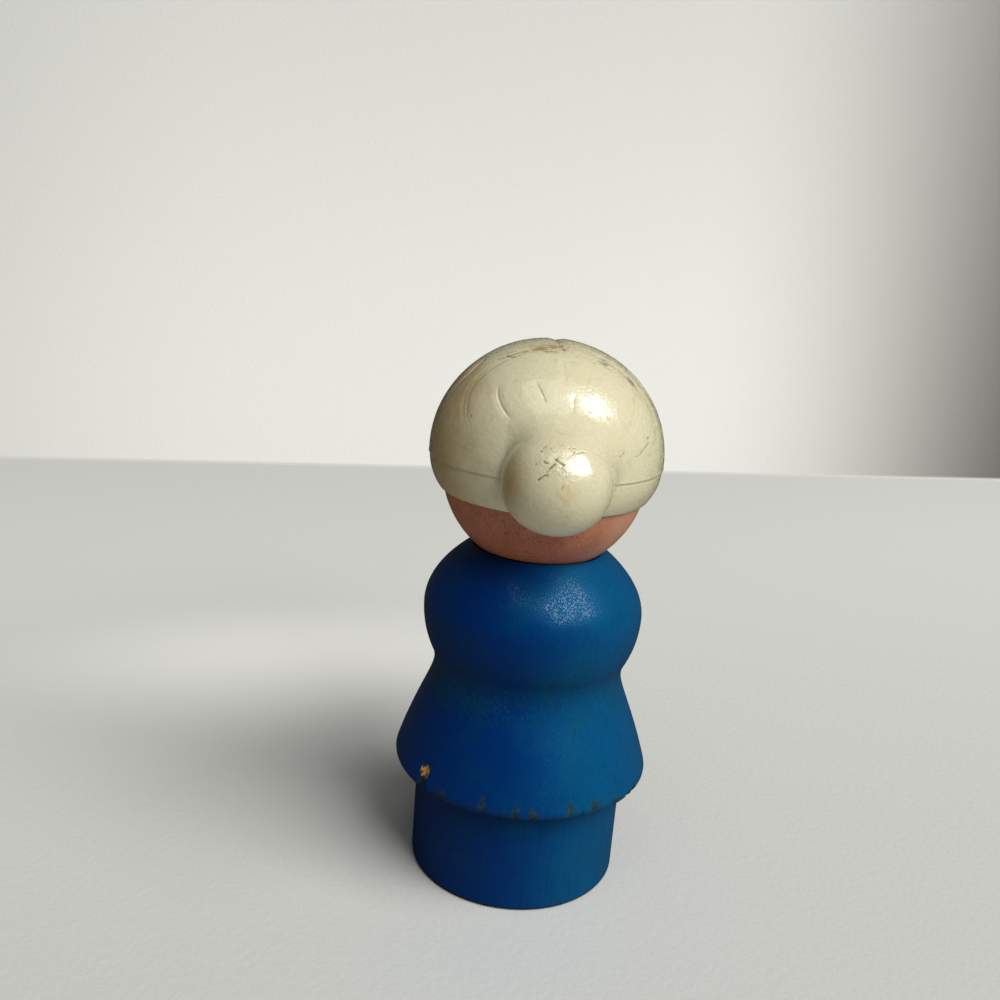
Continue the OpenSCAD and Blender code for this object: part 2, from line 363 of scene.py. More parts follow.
# The fresh chip that shows bare wood, and the older one under it, down to the hem's edge
BARE_CHIP = (38.5, 2.2, 0.72, 1.0, 0.22)
OLD_CHIP = (38.5, 0.85, 0.6, 0.75, 0.3)
# How far inside the hem's radius the middles of nicks and chips lie
NICK_IN = 0.35
CHIP_IN = 0.25

# The outline's steps under the base, in the seat, up the base, along the curves and under the hem
BOTTOM_STEP, SEAT_STEP, BASE_STEP, CURVE_STEP, HEM_STEP = 0.8, 0.5, 0.25, 0.2, 0.15
# Shares of the skirt's height over which its curve leaves the hem and comes to the waist
SKIRT_PULL, WAIST_PULL = 0.58, 0.19
# The waist's hollow as a share of the radii of the hollow and the chest together
HOLLOW_SHARE = 0.25
# The nail's hole: room below the nail, and the height of the drill's point
HOLE_BELOW, DRILL_POINT = 0.2, 2.0
# Depth of the counterbore's floor below the nail's top
NAIL_SEAT = 1.05
# Points round the turned pieces
BODY_SEGMENTS, HEAD_SEGMENTS = 384, 320


def body_outline():
    """The body's half section, from the middle of the base round to the nail's hole."""
    size, head = settings().body, settings().head
    hem_r, hem_z, waist_z = hem_and_waist()
    head_z = ball_height()
    shank_r = head.bore_r - head.bore_gap
    bore_end_z = NAIL_LOW[2] - HOLE_BELOW
    waist = np.array([size.chest_r - size.waist_in, waist_z])
    chest_z = waist_z + size.chest_h
    seat_r = head.radius + size.seat_gap
    neck_z = head_z - sqrt(seat_r**2 - size.neck_r**2)
    bore_z = head_z - sqrt(seat_r**2 - shank_r**2)
    lean = size.hem_lean
    hem_centre = np.array([hem_r - size.hem_round, hem_z + size.hem_round])
    start = hem_centre + size.hem_round * np.array([cos(lean), sin(lean)])
    rise = waist_z - start[1]
    leaves = start + SKIRT_PULL * rise * np.array([-tan(lean), 1.0])
    skirt = bezier(start, leaves, waist - (0.0, WAIST_PULL * rise), waist)
    both_r = (size.chest_h**2 + size.waist_in**2) / (2 * size.waist_in)
    hollow = HOLLOW_SHARE * both_r
    swell = both_r - hollow
    bend = degrees(atan2(size.chest_h, both_r - size.waist_in))
    t = np.linspace(0.0, 1.0, 33)[1:]
    shoulder = np.column_stack(
        (size.chest_r - (size.chest_r - size.neck_r) * t**2, chest_z + (neck_z - chest_z) * t)
    )
    seat_edge = degrees(atan2(neck_z - head_z, size.neck_r))
    bore_edge = degrees(atan2(bore_z - head_z, shank_r))
    base_in = size.base_r - size.foot_round
    return np.vstack(
        (
            resampled(np.array([[0.0, 0.0], [base_in, 0.0]]), BOTTOM_STEP),
            arc((base_in, size.foot_round), size.foot_round, -90, 0, 8)[1:],
            resampled(np.array([[size.base_r, size.foot_round], [size.base_r, size.base_h]]), BASE_STEP)[1:],
            resampled(np.array([[size.base_r, size.base_h], [hem_centre[0], hem_z]]), HEM_STEP)[1:],
            arc(hem_centre, size.hem_round, -90, degrees(lean), 16)[1:],
            resampled(skirt, CURVE_STEP)[1:],
            resampled(arc((waist[0] + hollow, waist_z), hollow, 180, 180 - bend), CURVE_STEP)[1:],
            resampled(arc((size.chest_r - swell, chest_z), swell, -bend, 0), CURVE_STEP)[1:],
            resampled(shoulder, CURVE_STEP),
            resampled(arc((0.0, head_z), seat_r, seat_edge, bore_edge), SEAT_STEP)[1:],
            [[shank_r, bore_end_z + DRILL_POINT], [0.0, bore_end_z]],
        )
    )


def chip_share(points, chip, inside):
    """Distance from the middle of a chip that lies so far inside the hem's radius, 1 at its edge."""
    round_deg, rise, half_w, half_h, _ = chip
    hem_r, hem_z, _ = hem_and_waist()
    across = points - on_body(round_deg, hem_z + rise, hem_r - inside)
    sideways = np.array([-sin(radians(round_deg)), cos(radians(round_deg)), 0.0])
    inward = across @ on_body(round_deg, 0.0, 1.0)
    return np.sqrt(((across @ sideways) / half_w) ** 2 + (across[:, 2] / half_h) ** 2 + (inward / 2.5) ** 2)


def dented(points, normals, noise):
    """Moves the body's surface in where it is nicked, and makes it a little uneven."""
    depth = 0.016 + 0.012 * noise(points, 3.1) + 0.004 * noise(points, 0.7)
    ragged = 1.0 + 0.3 * noise(points, 0.35)
    for nick in HEM_NICKS:
        depth += nick[4] * bump_shape(chip_share(points, nick, NICK_IN) * ragged)
    for chip in (BARE_CHIP, OLD_CHIP):
        depth += chip[4] * bump_shape(np.minimum(1.0, chip_share(points, chip, CHIP_IN) * ragged) ** 2)
    depth *= points[:, 2] > 1e-6
    return points - normals * depth[:, None]


# The hair as a field: negative inside, in millimetres


def smooth_min(a, b, blend):
    """The lower of two fields, with a round fillet where they meet."""
    h = np.clip(0.5 + 0.5 * (b - a) / blend, 0.0, 1.0)
    return b + (a - b) * h - blend * h * (1.0 - h)


def smooth_max(a, b, blend):
    """The higher of two fields, with a round edge where they meet."""
    return -smooth_min(-a, -b, blend)


def smooth_step(low, high, value):
    """0 below low, 1 above high and a smooth ramp between them."""
    t = np.clip((value - low) / (high - low), 0.0, 1.0)
    return t * t * (3.0 - 2.0 * t)


def direction(round_deg, up_deg):
    """A direction from the cap's centre, with 0 degrees round at the back."""
    a, e = radians(round_deg), radians(up_deg)
    return np.array([-sin(a) * cos(e), cos(a) * cos(e), sin(e)])


# Strands combed alike on both sides of the cap: width of the crease, its depth, depth of the soft
# roll beside it, then [degrees round, degrees up] along it
SIDE_STRANDS = [
    (0.17, 0.16, 0.1, [(-106, 60), (-98, 44), (-96, 28), (-101, 12)]),
    (0.14, 0.13, 0.08, [(-78, 56), (-76, 42), (-79, 26)]),
    (0.17, 0.15, 0.1, [(-134, 60), (-124, 44), (-121, 28)]),
]
# The strands at the back and the parting. A negative depth is a raised line.
BACK_STRANDS = [
    (0.16, -0.05, 0.06, [
        (-12, 78), (-36, 68), (-52, 57), (-58, 48), (-60, 40), (-59, 33), (-55, 26), (-49, 19), (-42, 13),
    ]),
    (0.16, -0.055, 0.06, [
        (14, 79), (38, 70), (55, 59), (60, 50), (61, 43), (64, 34), (64, 28), (60, 22), (52, 15),
    ]),
    (0.15, 0.09, 0.06, [(-42, 42), (-39, 39), (-37.5, 36), (-34, 32), (-29, 27.7), (-23, 23.5)]),
    (0.15, -0.045, 0.05, [(50, 41), (51.5, 37), (46, 30), (40, 25), (34, 20)]),
    (0.12, 0.1, 0.03, [(-17.5, 47), (-16, 44.2), (-12, 39.5), (-8, 33)]),
    (0.13, 0.08, 0.03, [(6.5, 41), (6.3, 38), (6, 34), (5, 29)]),
    (0.2, 0.22, 0.14, [(0, 62), (0, 68), (0, 78), (0, 90), (180, 76), (180, 55), (180, 34), (180, 12)]),
    (0.12, 0.05, 0.02, [(2, 44), (1.5, 54), (1, 64)]),
]
STRANDS = BACK_STRANDS + [
    (width, depth, roll, [(side * a, e) for a, e in line])
    for width, depth, roll, line in SIDE_STRANDS
    for side in (1, -1)
]

# Scratches on the cap: width, depth, grime, then places
CAP_SCRATCHES = [
    (0.16, 0.03, 0.9, [(-60, 54), (-54, 58.5), (-46, 63), (-38, 66)]),
    (0.16, 0.05, 1.0, [(-32, 67), (-24, 69), (-14, 69.5)]),
    (0.14, 0.05, 1.0, [(-30, 70), (-20, 72), (-10, 71.5)]),
    (0.12, 0.04, 0.9, [(-22, 67.5), (-21, 71)]),
    (0.12, 0.04, 0.9, [(-12, 68), (-13, 72)]),
    (0.2, 0.06, 1.0, [(-4, 73), (2, 70.5), (8, 72)]),
    (0.14, 0.04, 1.0, [(1, 65), (5, 68), (2, 72), (6, 76)]),
    (0.12, 0.04, 0.9, [(-2, 75), (6, 70), (12, 70)]),
    (0.16, 0.02, 0.7, [(40, 61), (46, 59.5), (53, 57)]),
    (0.12, 0.03, 0.6, [(-56, 48), (-53, 51)]),
    (0.12, 0.03, 0.9, [(27.5, 11), (29.5, 11.5), (31, 13)]),
    (0.12, 0.03, 0.8, [(39, 10), (42, 11), (46, 13.5), (50, 15.5)]),
    (0.12, 0.04, 0.9, [(49, 17.5), (52, 18)]),
    (0.1, 0.03, 0.6, [(33, 7), (35, 8)]),
    (0.13, 0.06, 0.35, [(31, -1.5), (28.5, -2), (27.3, -5), (26.8, -11), (24.8, -17)]),
    (0.12, 0.03, 0.15, [(-9, 24), (0, 24.5), (7, 23.5), (11.5, 22), (13.5, 24), (18, 28)]),
]
# Scratches and cracks on the bun, as directions from its middle
BUN_SCRATCHES = [
    (0.1, 0.06, 0.8, [(-32, 45), (-29, 50)]),
    (0.1, 0.06, 0.9, [(-34, 42), (-28, 41), (-22, 38)]),
    (0.08, 0.05, 0.7, [(-18, 43), (-23, 48)]),
    (0.11, 0.06, 0.8, [(-33, 27), (-29, 32)]),
    (0.11, 0.07, 0.9, [(-25, 31), (-19, 30)]),
    (0.13, 0.1, 1.0, [(-12, 36), (-10, 34), (-6, 32), (-2, 30)]),
    (0.16, 0.12, 1.0, [(-19, 22), (-16, 26), (-12.5, 29.5)]),
    (0.13, 0.08, 1.0, [(-26, 13), (-21, 18), (-18, 18.5)]),
    (0.12, 0.09, 1.0, [(6, 49.5), (10, 47), (12, 45)]),
    (0.1, 0.06, 0.9, [(12, 49), (15, 50)]),
    (0.1, 0.06, 0.8, [(11, 45), (16, 43), (21, 45), (29, 44)]),
    (0.09, 0.04, 0.3, [(34, 43), (45, 42), (53, 39), (61, 32)]),
    (0.09, 0.03, 0.2, [(-27, 50), (-21, 55), (-10, 60)]),
    (0.1, 0.06, 0.5, [(-14, 33), (-10, 36), (-7, 39), (-3, 42)]),
    (0.08, 0.04, 0.5, [(-6, 38), (2, 36.5), (9, 41)]),
    (0.1, 0.05, 0.9, [(-3, 7), (-2, 8.5), (-1, 10)]),
    (0.09, 0.04, 0.9, [(-3, -1), (-1.5, -1)]),
    (0.09, 0.04, 0.8, [(4, 1), (5, 0.5)]),
    (0.09, 0.04, 0.8, [(-6, 1.5), (-5.5, 4)]),
    (0.08, 0.04, 0.7, [(7.5, 5), (9, 5)]),
    (0.08, 0.02, 0.3, [(-24, 5), (-14, 5.5), (-7, 6)]),
    (0.08, 0.02, 0.3, [(10, 5), (22, 5), (36, 5), (48, 4.5)]),
    (0.1, 0.03, 1.0, [(-29, -12), (-28.5, -12.5)]),
]
# Specks of dirt on the cap: [degrees round, degrees up], size
SPECKS = [
    ((-48, 23), 0.2),
    ((14.3, 31.5), 0.16),
    ((-24.6, 50.4), 0.12),
    ((57, 44.5), 0.2),
    ((-76, -1.6), 0.3),
]
# Rubbed-in dirt on the cap: [degrees round, degrees up], size
STAINS = [
    ((-24, 68.5), 1.6),
    ((-6, 71.5), 1.8),
    ((5, 70), 1.3),
    ((-50, 60), 1.3),
    ((48, 59), 1.6),
    ((60, 46), 1.2),
]
# Flats struck on the bun: place, and half of the width of the flat
FLATS = [
    ((3, 42), 0.6),
    ((-9, 44), 0.45),
    ((-14, 37), 0.5),
    ((-23, 27), 0.45),
    ((8, 33), 0.65),
    ((18, 39), 0.45),
    ((19, 30), 0.5),
    ((-28, 44), 0.35),
]
# The nub on the mould line, the moulding mark on the bun and the middle of its struck area
NUB = (-77, -2)
MOULDING_MARK, MARK_RING, MARK_LINE = (1, 5), 0.5, 0.3
STRUCK, STRUCK_SIZE = (2, 33), 2.2

# Round edges of the cap: at the rim, at the hollow and round the opening for the face
RIM_EDGE, HOLLOW_EDGE, FACE_EDGE = 0.12, 0.08, 0.2
# The fillet round the bun: least radius, what is added at its top, and over which height
FILLET_LEAST, FILLET_MORE, FILLET_HEIGHT = 0.3, 2.5, 5.5
# Detail is worked out only so near the surface. What is off a ball counts as this far away.
NEAR_SURFACE = 0.45
FAR_OFF = 99.0


def places(line, radius):
    """Points on a ball round its own centre, from their directions."""
    return np.array([radius * direction(*place) for place in line])


def smooth_line(line, steps=6):
    """A line through the places with its corners rounded."""
    if len(line) < 3:
        return line
    padded = np.vstack((2 * line[0] - line[1], line, 2 * line[-1] - line[-2]))
    points = []
    for a, b, c, d in zip(padded, padded[1:], padded[2:], padded[3:]):
        for t in np.linspace(0.0, 1.0, steps, endpoint=False):
            bend = (2 * a - 5 * b + 4 * c - d) * t**2 + (3 * b - a - 3 * c + d) * t**3
            points.append(0.5 * (2 * b + (c - a) * t + bend))
    points.append(line[-1])
    return np.array(points)


def line_distance(p, line, reach):
    """Distance to a line of places where it is under reach, and the share of the way along it."""
    distance, along = np.full(len(p), FAR_OFF), np.zeros(len(p))
    near = np.flatnonzero(np.all((p > line.min(axis=0) - reach) & (p < line.max(axis=0) + reach), axis=1))
    q, best, share = p[near], distance[near], along[near]
    lengths = np.linalg.norm(np.diff(line, axis=0), axis=1)
    start = 0.0
    for a, b, gap in zip(line, line[1:], lengths):
        t = np.clip((q - a) @ (b - a) / (gap * gap), 0.0, 1.0)
        d = np.linalg.norm(q - a - t[:, None] * (b - a), axis=1)
        share = np.where(d < best, (start + t * gap) / lengths.sum(), share)
        best = np.minimum(d, best)
        start += gap
    distance[near], along[near] = best, share
    return distance, along


def spot(q, place, radius, size):
    """A round mark on a ball: 1 in its middle, 0 where its size ends."""
    return bump_shape(np.linalg.norm(q - radius * direction(*place), axis=1) / size)


class Marks:
    """How far the points of a surface are cut in, and how grimy they are."""

    def __init__(self, cut):
        self.cut = cut
        self.grime = np.zeros(len(cut))

    def add(self, cut, grime=0.0):
        """Cuts further in, and leaves grime where there is less."""
        self.cut += cut
        self.grime = np.maximum(self.grime, grime)


class HairField:
    """The hair cap as one field, with its strands, mould line and wear."""

    def __init__(self):
        size, head_r, head_z = settings().hair, settings().head.radius, ball_height()
        self.noise = Noise(11)
        self.head = np.array([0.0, 0.0, head_z])
        self.hollow_r = head_r + size.cap_fit
        self.cap_r, self.cap, self.bun = cap_and_bun()
        self.crown = size.crown
        self.seam_z = self.cap[2] - size.seam_drop
        self.rim_z = head_z - size.rim_drop
        rim_r = sqrt(self.hollow_r**2 - size.rim_drop**2) + size.rim_wall
        seam_r = sqrt(self.cap_r**2 - size.seam_drop**2)
        band_h = self.seam_z - self.rim_z
        band_in = seam_r - size.seam_step - rim_r
        self.band_r = (band_h**2 + band_in**2) / (2 * band_in)
        self.band_x = rim_r + band_in - self.band_r
        self.bun_r = size.bun_h / 2
        self.bun_stretch = (size.bun_w - size.bun_h) / 2
        self.face_half = size.face_w / 2
        self.brow_r = size.brow_r
        self.brow_z = head_z - size.brow_drop
        self.strands = [(w, d, roll, smooth_line(places(line, self.cap_r))) for w, d, roll, line in STRANDS]
        self.cap_scratches = [(w, d, g, places(line, self.cap_r)) for w, d, g, line in CAP_SCRATCHES]
        self.bun_scratches = [(w, d, g, places(line, self.bun_r)) for w, d, g, line in BUN_SCRATCHES]

    def from_cap(self, p):
        """The points from the cap's centre, with its low crown stretched to a round one."""
        q = p - self.cap
        q[:, 2] = np.where(q[:, 2] > 0.0, q[:, 2] / self.crown, q[:, 2])
        return q

    def shape(self, p):
        """The cap and the bun without their detail."""
        across = np.hypot(p[:, 0], p[:, 1])
        top = np.linalg.norm(self.from_cap(p), axis=1) - self.cap_r
        band = np.hypot(across - self.band_x, p[:, 2] - self.seam_z) - self.band_r
        upper = smooth_step(self.seam_z - 0.16, self.seam_z + 0.02, p[:, 2])
        cap = np.where(across < self.cap_r / 2, top, band + (top - band) * upper)
        cap = smooth_max(cap, self.rim_z - p[:, 2], RIM_EDGE)
        flat = np.maximum(np.hypot(p[:, 0], p[:, 1] - self.bun[1]) - self.bun_stretch, 0.0)
        bun = np.hypot(flat, p[:, 2] - self.bun[2]) - self.bun_r
        rise = p[:, 2] - self.bun[2] - 0.3 * p[:, 0]
        solid = smooth_min(cap, bun, FILLET_LEAST + FILLET_MORE * smooth_step(0.0, FILLET_HEIGHT, rise))
        hollow = self.hollow_r - np.linalg.norm(p - self.head, axis=1)
        return smooth_max(solid, hollow, HOLLOW_EDGE)

    def face(self, p):
        """The opening for the face: negative inside it."""
        x = np.abs(p[:, 0])
        arcs = np.hypot(x - (self.face_half - self.brow_r), p[:, 2] - self.brow_z) - self.brow_r
        below = np.maximum(x - self.face_half, p[:, 2] - self.brow_z)
        return np.maximum(np.minimum(arcs, below), p[:, 1])

    def detail(self, p):
        """How far the surface is cut in, and how grimy it is."""
        noise = self.noise
        marks = Marks(0.025 + 0.03 * noise(p, 4.2) + 0.013 * noise(p, 1.1) + 0.005 * noise(p, 0.45))
        q = self.from_cap(p)
        out = np.linalg.norm(q, axis=1)
        on_cap = np.abs(out - self.cap_r) <= 0.9
        q = np.where(on_cap[:, None], q * (self.cap_r / out)[:, None], FAR_OFF)
        b = p - self.bun
        out = np.linalg.norm(b, axis=1)
        on_bun = (np.abs(out - self.bun_r) < 0.6) & (b[:, 1] > 0.5)
        b = np.where(on_bun[:, None], b * (self.bun_r / out)[:, None], FAR_OFF)
        for width, depth, roll, line in self.strands:
            distance, share = line_distance(q, line, 5.0 * width)
            fade = smooth_step(0.0, 0.3, share) * smooth_step(0.0, 0.3, 1.0 - share)
            crease = np.clip(1.0 - distance / width, 0.0, None) ** 1.5 * fade
            beside = bump_shape(distance / (4.5 * width)) * fade
            marks.add(depth * crease + roll * beside, 0.3 * crease * (depth > 0.0))
        wander = 1.0 + 0.6 * noise(p, 0.3)
        broken = smooth_step(-0.8, 0.0, noise(p, 0.55))
        for pressed, scratches in ((q, self.cap_scratches), (b, self.bun_scratches)):
            for width, depth, dirt, line in scratches:
                distance, _ = line_distance(pressed, line, 2.0 * width)
                mark = bump_shape(distance * wander / width) * broken
                marks.add(0.7 * depth * mark, dirt * mark)
        for place, size in SPECKS:
            mark = spot(q, place, self.cap_r, size)
            marks.add(0.04 * mark, mark)
        patchy = smooth_step(-0.25, 0.4, noise(p * (1.0, 1.0, 2.5), 0.6))
        for place, size in STAINS:
            marks.add(0.0, 0.85 * patchy * spot(q, place, self.cap_r, size))
        marks.add(0.025 * noise(p, 0.33) * spot(b, STRUCK, self.bun_r, STRUCK_SIZE))
        ring = np.linalg.norm(b - self.bun_r * direction(*MOULDING_MARK), axis=1) - MARK_RING
        marks.add(-0.022 * bump_shape(ring / MARK_LINE) * (1.0 + noise(p, 0.4)))
        lower = self.seam_z - p[:, 2]
        on_band = ~on_bun & (out > self.bun_r)
        bead = bump_shape((lower + 0.06) / 0.13) * on_band
        valley = bump_shape((lower - 0.13) / 0.14) * on_band
        patchy = smooth_step(-0.5, 0.5, noise(p, 1.6))
        marks.add((0.01 + 0.025 * patchy) * valley - 0.03 * bead, 0.3 * valley * patchy)
        marks.add(-0.16 * spot(q, NUB, self.cap_r, 0.4))
        return marks

    def flattened(self, p, field):
        """Cuts the struck flats into the bun."""
        b = p - self.bun
        uneven = 0.032 + 0.012 * self.noise(p, 0.3)
        for place, half in FLATS:
            out = direction(*place)
            reach = self.bun_r + self.bun_stretch * cos(radians(place[1]))
            away = np.linalg.norm(b - reach * out, axis=1)
            plane = b @ out - reach + half * half / (2 * reach) + uneven
            field = np.where(away < 2.0 * half, np.maximum(field, plane), field)
        return field

    def __call__(self, p):
        """The whole field at the points."""
        field = self.shape(p)
        outside = np.linalg.norm(p - self.head, axis=1) > self.hollow_r + 0.15
        near = np.flatnonzero((np.abs(field) < NEAR_SURFACE) & outside)
        field[near] += self.detail(p[near]).cut
        on_bun = np.flatnonzero((np.abs(field) < NEAR_SURFACE) & (p[:, 1] > self.bun[1] + 1.0))
        field[on_bun] = self.flattened(p[on_bun], field[on_bun])
        return smooth_max(field, -self.face(p), FACE_EDGE)


def meshed(field, low, high, step):
    """Points and faces of the surface where the field is zero."""
    axes = [np.arange(a, b + step, step) for a, b in zip(low, high)]
    shape = tuple(len(axis) for axis in axes)
    plane_y, plane_z = (grid.ravel() for grid in np.meshgrid(axes[1], axes[2], indexing="ij"))
    values = np.empty(shape)
    for i, x in enumerate(axes[0]):
        plane = np.column_stack((np.full(plane_y.size, x), plane_y, plane_z))
        values[i] = field(plane).reshape(shape[1:])
    inside = values < 0.0
    corners = np.array(list(product((0, 1), repeat=3)))
    count = sum(
        inside[a : shape[0] - 1 + a, b : shape[1] - 1 + b, c : shape[2] - 1 + c].astype(int)
        for a, b, c in corners
    )
    cells = np.argwhere((count > 0) & (count < 8))
    number = np.full(shape, -1)
    number[tuple(cells.T)] = np.arange(len(cells))
    unit = np.eye(3, dtype=int)
    # Each cell that the surface crosses gets one point, in the middle of its edges' crossings.
    total = np.zeros((len(cells), 3))
    crossings = np.zeros(len(cells))
    for axis, along in enumerate(unit):
        for corner in corners[corners[:, axis] == 0]:
            start = values[tuple((cells + corner).T)]
            end = values[tuple((cells + corner + along).T)]
            crossed = (start < 0) != (end < 0)
            share = np.where(crossed, start / np.where(crossed, start - end, 1.0), 0.0)
            total += crossed[:, None] * (corner + share[:, None] * along)
            crossings += crossed
    points = np.array(low) + step * (cells + total / crossings[:, None])
    # Each crossed edge gets one face, from the points of the four cells round it.
    faces = []
    for axis in range(3):
        b, c = unit[(axis + 1) % 3], unit[(axis + 2) % 3]
        edges = np.argwhere(np.diff(inside, axis=axis))
        quads = np.column_stack([number[tuple((edges - shift).T)] for shift in (0 * b, b, b + c, c)])
        flipped = inside[tuple(edges.T)]
        quads[~flipped] = quads[~flipped][:, ::-1]
        faces.append(quads)
    return points, np.vstack(faces)


def settled(points, field, step):
    """The points moved onto the field's surface, by no more than most of a step at a time."""
    small, least_slope, longest = 0.01, 0.2, 0.6 * step
    for _ in range(2):
        value = field(points)
        slope = np.column_stack([(field(points + small * axis) - value) / small for axis in np.eye(3)])
        move = slope * (value / np.maximum((slope**2).sum(axis=1), least_slope))[:, None]
        distance = np.linalg.norm(move, axis=1)
        move *= np.minimum(1.0, longest / np.maximum(distance, 1e-9))[:, None]
        points = points - move
    return points


# Materials


class Value:
    """A node's output. Arithmetic on values adds Math nodes."""

    def __init__(self, finish, socket):
        self.finish = finish
        self.socket = socket

    def __add__(self, other):
        return self.finish.math("ADD", self, other)

    __radd__ = __add__

    def __mul__(self, other):
        return self.finish.math("MULTIPLY", self, other)

    __rmul__ = __mul__

    def __sub__(self, other):
        return self.finish.math("SUBTRACT", self, other)

    def __rsub__(self, other):
        return self.finish.math("SUBTRACT", other, self)


def colour(value):
    """A colour with its alpha, or a link left as it is."""
    return value if isinstance(value, Value) else (*value, 1.0)


def per_size(size):
    """What makes a size in millimetres, or each of three sizes, 1."""
    return tuple(1.0 / (MM * s) for s in ((size,) * 3 if np.isscalar(size) else size))


class Finish:
    """A procedural material under construction, one colour laid over the next."""

    def __init__(self, name, ground, roughness, **uniform):
        self.material = bpy.data.materials.new(name)
        self.material.use_nodes = True
        self.tree = self.material.node_tree
        self.shader = self.tree.nodes["Principled BSDF"]
        for socket, value in dict(uniform, Roughness=roughness).items():
            self.shader.inputs[socket.replace("_", " ")].default_value = value
        self.surface = ground
        self.place = self.node("TexCoord", output="Object")
        self.x, self.y, self.z = (
            self.node("SeparateXYZ", {"Vector": self.place}, output=axis) * (1.0 / MM) for axis in "XYZ"
        )

    def node(self, kind, inputs=None, output=0, **chosen):
        """Adds a node, sets it up, feeds its sockets and returns one output."""
        node = self.tree.nodes.new("ShaderNode" + kind)
        for name, value in chosen.items():
            setattr(node, name, value)
        for key, value in (inputs or {}).items():
            if isinstance(value, Value):
                self.tree.links.new(value.socket, node.inputs[key])
            else:
                node.inputs[key].default_value = value
        return Value(self, node.outputs[output])

    def math(self, operation, *terms):
        """One Math node."""
        return self.node("Math", dict(enumerate(terms)), operation=operation)

    def vector(self, operation, first, second):
        """One Vector Math node."""
        return self.node("VectorMath", {0: first, 1: second}, operation=operation)

    def ramp(self, value, low, high):
        """0 where the value is low, 1 where it is high, smooth between."""
        sockets = {"Value": value, "From Min": low, "From Max": high}
        return self.node("MapRange", sockets, interpolation_type="SMOOTHSTEP")

    def zone(self, low, full, end, high):
        """1 between two heights, fading out below and above them."""
        return self.ramp(self.z, low, full) * (1.0 - self.ramp(self.z, end, high))

    def noise(self, size, detail=3.0, rough=0.55, offset=0.0):
        """Noise from about 0.25 to 0.75 with lumps of the given size in millimetres."""
        place = self.vector("ADD", self.vector("MULTIPLY", self.place, per_size(size)), (offset,) * 3)
        return self.node("TexNoise", {"Vector": place, "Scale": 1.0, "Detail": detail, "Roughness": rough})

    def near(self, place, size):
        """1 at a place in millimetres, falling to 0 at the given size from it."""
        away = self.vector("SUBTRACT", self.place, tuple(MM * v for v in place))
        scaled = self.vector("MULTIPLY", away, per_size(size))
        distance = self.node("VectorMath", {0: scaled}, "Value", operation="LENGTH")
        return 1.0 - self.ramp(distance, 0.0, 1.0)

    def blend(self, share, first, second):
        """The first colour, with the share of the second over it."""
        return self.node("Mix", {0: share, 6: colour(first), 7: colour(second)}, 2, data_type="RGBA")

    def over(self, share, second):
        """Lays a share of a colour over the surface."""
        self.surface = self.blend(share, self.surface, second)

    def finished(self, height, relief, **varying):
        """Connects the surface, its relief in millimetres and what else varies over it."""
        normal = self.node("Bump", {"Strength": 1.0, "Distance": relief * MM, "Height": height})
        for socket, value in dict(varying, Base_Color=self.surface, Normal=normal).items():
            self.tree.links.new(value.socket, self.shader.inputs[socket.replace("_", " ")])
        return self.material


